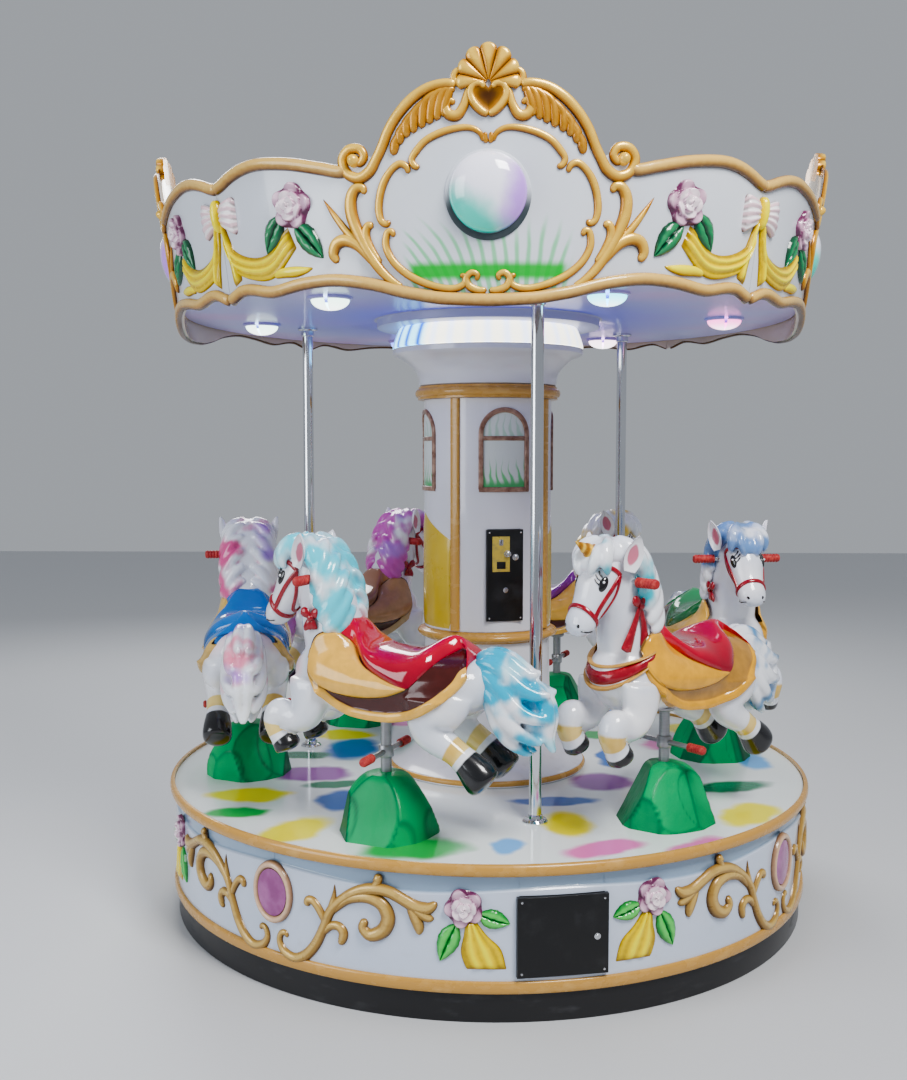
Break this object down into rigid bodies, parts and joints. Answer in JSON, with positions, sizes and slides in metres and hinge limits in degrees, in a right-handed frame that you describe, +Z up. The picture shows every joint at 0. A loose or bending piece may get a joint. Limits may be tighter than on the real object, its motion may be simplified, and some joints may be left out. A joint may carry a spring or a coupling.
{
  "type": "fairground carousel",
  "caption": "Small round fairground carousel: a skirted base, a turning deck with painted horses on lifting shafts, a central column and a crested canopy.",
  "frame": {"origin": "centre of the round base, on the floor", "axes": "+Z up, the front with the service door is -Y, +X to the right seen from the front"},
  "size_m": [2.2836, 2.2836, 2.55],
  "materials": {
    "white": "glossy white gelcoat with a faint pale blue shade",
    "gold": "tan-gold paint on moulded trim",
    "black": "satin black plinth",
    "door_black": "smooth black powder coat",
    "deck_white": "glossy white with soft airbrushed colour patches",
    "ceiling_white": "glossy white, faint violet shade",
    "light_band": "frosted strip lit from behind",
    "chrome": "polished tube",
    "grey_steel": "grey steel",
    "rock_green": "glossy green gelcoat on a faceted mound",
    "horse_white": "glossy white gelcoat with airbrushed colour"
  },
  "bodies": {
    "base": {"plinth": "black", "base_frame": "grey_steel", "skirt_front_left": "white", "skirt_front_right": "white", "skirt_under_door": "white", "skirt_over_door": "white", "skirt_right": "white", "skirt_back": "white", "skirt_left": "white", "skirt_moulding": "gold"},
    "platform": {"deck": "deck_white", "deck_rim": "gold", "rock_1": "rock_green", "rock_2": "rock_green", "rock_3": "rock_green", "rock_4": "rock_green", "rock_5": "rock_green", "rock_6": "rock_green", "pole_1": "chrome", "pole_2": "chrome", "pole_3": "chrome", "column_base": "white", "column_under_door": "white", "column_over_door": "white", "column_right": "white", "column_left": "white", "capital": "white", "led_band": "light_band", "ceiling": "ceiling_white", "fascia_front": "white", "fascia_right": "white", "fascia_back": "white", "fascia_left": "white"},
    "service_door": {"service_door": "door_black"},
    "coin_door": {"coin_door": "door_black"},
    "horse_1": {"horse_1": "horse_white", "horse_shaft_1": "grey_steel"},
    "horse_2": {"horse_2": "horse_white", "horse_shaft_2": "grey_steel"},
    "horse_3": {"horse_3": "horse_white", "horse_shaft_3": "grey_steel"},
    "horse_4": {"horse_4": "horse_white", "horse_shaft_4": "grey_steel"},
    "horse_5": {"horse_5": "horse_white", "horse_shaft_5": "grey_steel"},
    "horse_6": {"horse_6": "horse_white", "horse_shaft_6": "grey_steel"}
  },
  "joints": [
    {"name": "platform_turn", "type": "hinge", "parent": "base", "child": "platform", "pos_m": [0, 0, 0.39], "axis": [0, 0, 1], "continuous": true},
    {"name": "service_door_swing", "type": "hinge", "parent": "base", "child": "service_door", "pos_m": [0.08236, -1.094, 0.24], "axis": [0, 0, -1], "range_deg": [0, 110]},
    {"name": "coin_door_swing", "type": "hinge", "parent": "platform", "child": "coin_door", "pos_m": [-0.00155, -0.23762, 1.1215], "axis": [0, 0, -1], "range_deg": [0, 110]},
    {"name": "horse_1_lift", "type": "slide", "parent": "platform", "child": "horse_1", "axis": [0, 0, 1], "range_m": [-0.04, 0.04]},
    {"name": "horse_2_lift", "type": "slide", "parent": "platform", "child": "horse_2", "axis": [0, 0, 1], "range_m": [-0.04, 0.04]},
    {"name": "horse_3_lift", "type": "slide", "parent": "platform", "child": "horse_3", "axis": [0, 0, 1], "range_m": [-0.04, 0.04]},
    {"name": "horse_4_lift", "type": "slide", "parent": "platform", "child": "horse_4", "axis": [0, 0, 1], "range_m": [-0.04, 0.04]},
    {"name": "horse_5_lift", "type": "slide", "parent": "platform", "child": "horse_5", "axis": [0, 0, 1], "range_m": [-0.04, 0.04]},
    {"name": "horse_6_lift", "type": "slide", "parent": "platform", "child": "horse_6", "axis": [0, 0, 1], "range_m": [-0.04, 0.04]}
  ]
}
